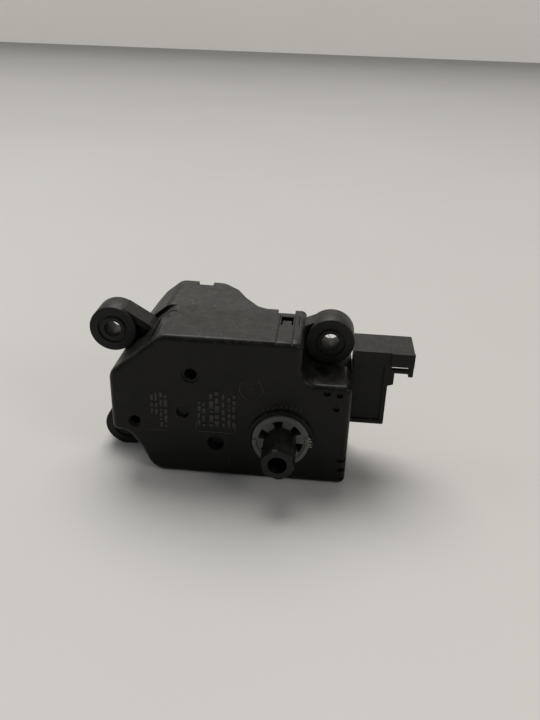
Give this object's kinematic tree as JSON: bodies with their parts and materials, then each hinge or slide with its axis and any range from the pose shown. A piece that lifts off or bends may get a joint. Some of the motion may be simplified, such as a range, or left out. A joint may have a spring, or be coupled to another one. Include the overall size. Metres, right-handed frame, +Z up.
{
  "type": "air flap actuator",
  "caption": "Small motorised actuator that turns a heating or ventilation air flap: geared output with hexagonal drive shaft, three mounting ears and a side socket.",
  "frame": {"origin": "output shaft's axis, in the plane of the cover's front face", "axes": "-Y along the output shaft out of the front face, +Z up from the bottom edge it stands on, +X towards the connector"},
  "size_m": [0.0823, 0.0501, 0.0406],
  "materials": {
    "black_plastic": "fine moulded texture, slightly shiny",
    "shaft_plastic": "smooth moulded",
    "grey_plastic": "smooth moulded",
    "white_plastic": "smooth moulded",
    "board_laminate": "solder mask",
    "carbon_ink": "printed",
    "chip_resin": "moulded resin",
    "tinned_contact": "tinned",
    "steel": "ground",
    "plated_can": "zinc plated",
    "core_steel": "laminated",
    "ferrite": "sintered",
    "carbon_brush": "pressed carbon",
    "sintered_bronze": "sintered",
    "copper_wire": "enamelled",
    "copper_bar": "turned",
    "spring_bronze": "rolled strip"
  },
  "bodies": {
    "case": {"front_cover": "black_plastic", "rear_housing": "black_plastic", "connector_housing": "black_plastic", "connector_pins": "tinned_contact", "circuit_board": "board_laminate", "resistor_track": "carbon_ink", "board_chip": "chip_resin", "first_gear_axle": "steel", "second_gear_axle": "steel", "worm_end_bearing": "sintered_bronze", "motor_can": "plated_can", "motor_bushing": "sintered_bronze", "motor_end_cap": "white_plastic", "motor_magnets": "ferrite", "motor_brushes": "carbon_brush", "motor_terminals": "tinned_contact", "motor_contacts": "tinned_contact"},
    "rotor": {"motor_shaft": "steel", "worm": "white_plastic", "armature_core": "core_steel", "armature_windings": "copper_wire", "commutator": "copper_bar"},
    "first_gear": {"first_gear": "white_plastic"},
    "second_gear": {"second_gear": "white_plastic"},
    "output": {"output_gear": "grey_plastic", "drive_shaft": "shaft_plastic", "wiper_spring": "spring_bronze"}
  },
  "joints": [
    {"name": "motor_spin", "type": "hinge", "parent": "case", "child": "rotor", "pos_m": [-0.0224, 0.0226, 0], "axis": [0, 0, 1], "range_deg": [-10770, 10770]},
    {"name": "first_gear_spin", "type": "hinge", "parent": "case", "child": "first_gear", "pos_m": [-0.0165, 0, -0.0027], "axis": [0, -1, 0], "range_deg": [-673.2, 673.2]},
    {"name": "second_gear_spin", "type": "hinge", "parent": "case", "child": "second_gear", "pos_m": [-0.01098, 0, 0.00688], "axis": [0, -1, 0], "range_deg": [-198, 198]},
    {"name": "output_turn", "type": "hinge", "parent": "case", "child": "output", "pos_m": [0, 0, 0], "axis": [0, -1, 0], "range_deg": [-60, 60]}
  ],
  "couplings": [
    {"joint": "first_gear_spin", "follows": "motor_spin", "ratio": 0.0625},
    {"joint": "second_gear_spin", "follows": "motor_spin", "ratio": -0.018382},
    {"joint": "output_turn", "follows": "motor_spin", "ratio": 0.0055704}
  ]
}
